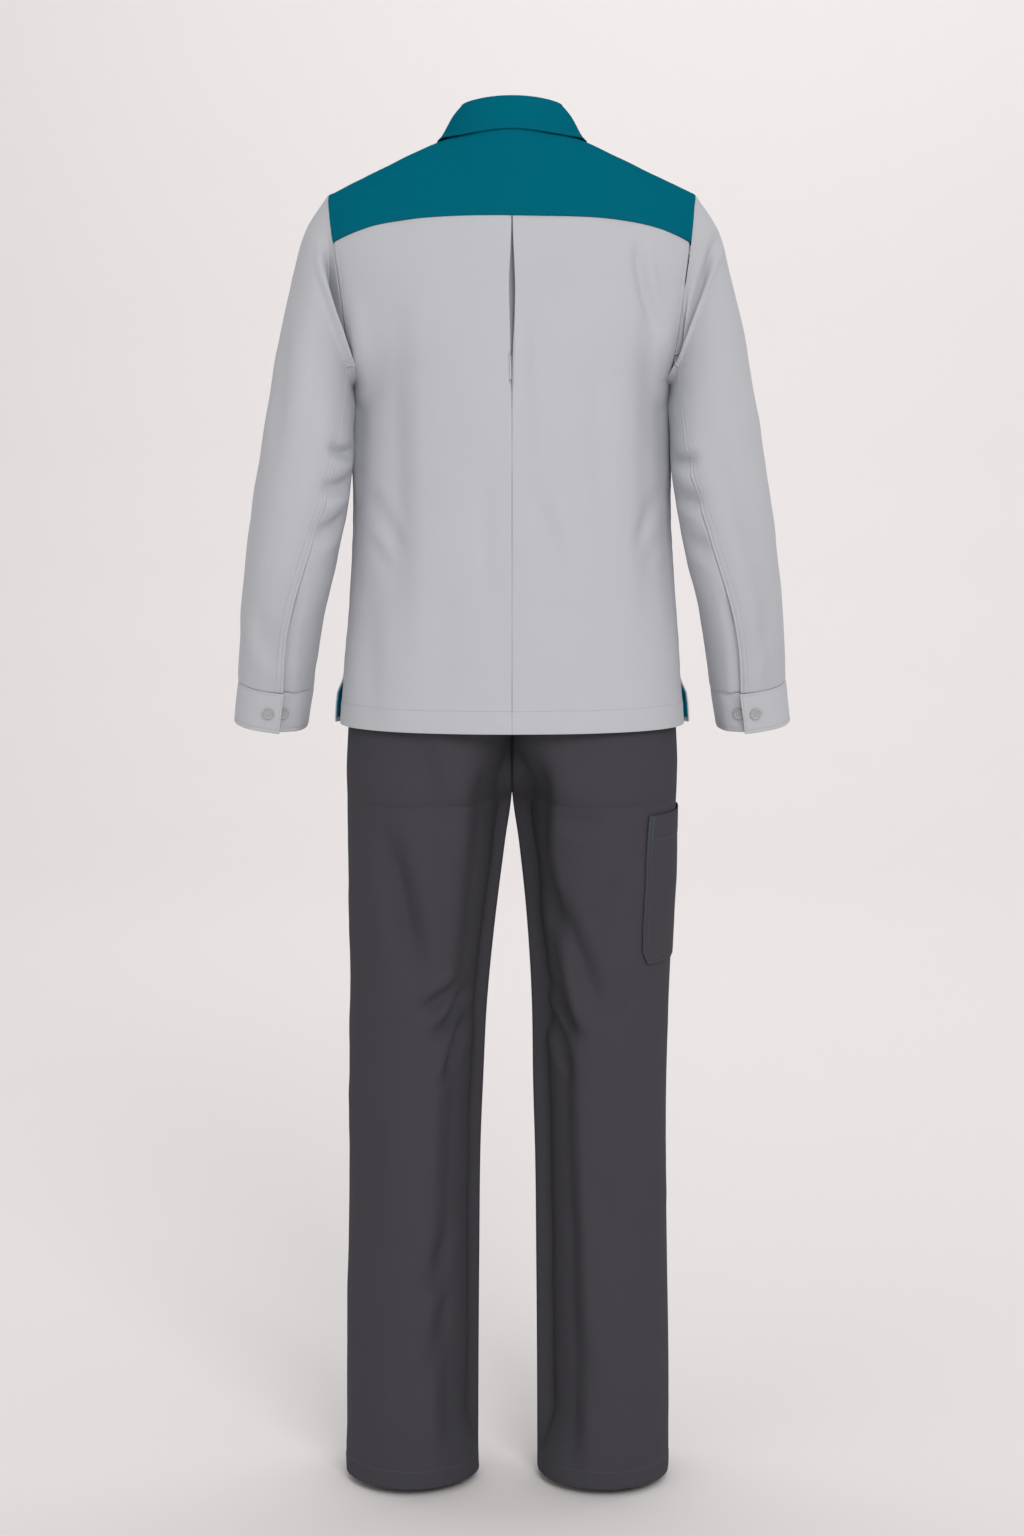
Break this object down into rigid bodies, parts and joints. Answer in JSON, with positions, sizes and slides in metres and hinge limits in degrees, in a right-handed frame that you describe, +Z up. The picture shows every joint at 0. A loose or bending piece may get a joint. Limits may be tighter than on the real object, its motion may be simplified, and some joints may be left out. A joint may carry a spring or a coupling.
{
  "type": "laboratory uniform",
  "caption": "Long-sleeved work jacket with contrast yoke and collar over straight full-length trousers, worn shape, hollow throughout.",
  "frame": {"origin": "centre of the neck opening, level with the points where the shoulders meet the neck", "axes": "+Z up, -Y the wearer's front, +X the wearer's left"},
  "size_m": [0.6442, 0.261, 1.584],
  "materials": {
    "grey_twill": "matt light grey twill",
    "teal_twill": "matt teal twill",
    "charcoal_twill": "matt charcoal twill",
    "button": "satin grey"
  },
  "bodies": {
    "root": {"yoke": "teal_twill", "collar": "teal_twill", "back_panel": "grey_twill", "front_left": "grey_twill", "front_right": "grey_twill", "vent_facing_left": "teal_twill", "vent_facing_right": "teal_twill", "sleeve_upper_left": "grey_twill", "sleeve_upper_right": "grey_twill", "sleeve_under_left": "grey_twill", "sleeve_under_right": "grey_twill", "cuff_left": "grey_twill", "cuff_right": "grey_twill", "cuff_button_left_1": "button", "cuff_button_left_2": "button", "cuff_button_right_1": "button", "cuff_button_right_2": "button", "front_button_1": "button", "front_button_2": "button", "front_button_3": "button", "front_button_4": "button", "front_button_5": "button", "front_button_6": "button", "leg_back_left": "charcoal_twill", "leg_back_right": "charcoal_twill", "leg_front_left": "charcoal_twill", "leg_front_right": "charcoal_twill", "waistband": "charcoal_twill", "leg_pocket": "charcoal_twill"}
  },
  "joints": []
}
